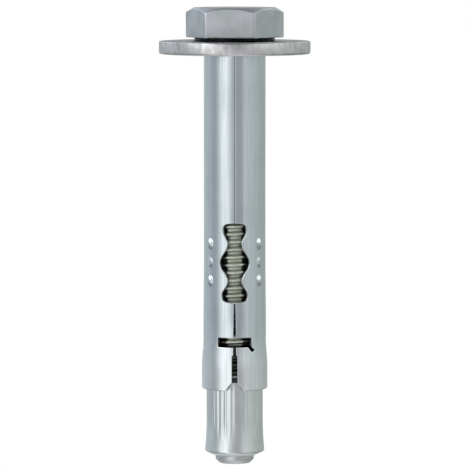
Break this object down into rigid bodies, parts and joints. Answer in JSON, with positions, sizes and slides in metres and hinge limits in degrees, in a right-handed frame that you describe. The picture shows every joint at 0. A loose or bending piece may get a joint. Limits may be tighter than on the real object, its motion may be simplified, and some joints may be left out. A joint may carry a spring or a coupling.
{
  "type": "sheet metal sleeve anchor",
  "caption": "Masonry anchor: hex head screw with a wide washer, a rolled sheet metal expansion sleeve with shaped windows, and a fluted cone nut.",
  "frame": {"origin": "centre of the hexagon head's outer face, on which the anchor stands", "axes": "+Z along the screw, from the head towards the tip; -Y faces the sleeve's butt seam, with one window, cross slot and slit on its line"},
  "size_m": [0.0296, 0.0296, 0.089],
  "materials": {
    "matt_zinc": "matt zinc plate",
    "streaked_zinc": "zinc plate over a streaked sheared edge",
    "bright_zinc": "bright bluish zinc plate",
    "fluted_zinc": "bright zinc plate"
  },
  "bodies": {
    "screw": {"hex_head_screw": "matt_zinc", "washer": "streaked_zinc"},
    "sleeve": {"expansion_sleeve": "bright_zinc"},
    "nut": {"cone_nut": "fluted_zinc"}
  },
  "joints": [
    {"name": "sleeve_turn", "type": "hinge", "parent": "screw", "child": "sleeve", "pos_m": [0, 0, 0.0418], "axis": [0, 0, 1], "range_deg": [0, 2880]},
    {"name": "nut_travel", "type": "slide", "parent": "sleeve", "child": "nut", "axis": [0, 0, 1], "range_m": [0, 0.012]}
  ],
  "couplings": [
    {"joint": "nut_travel", "follows": "sleeve_turn", "m_per_rad": 0.00023873}
  ]
}
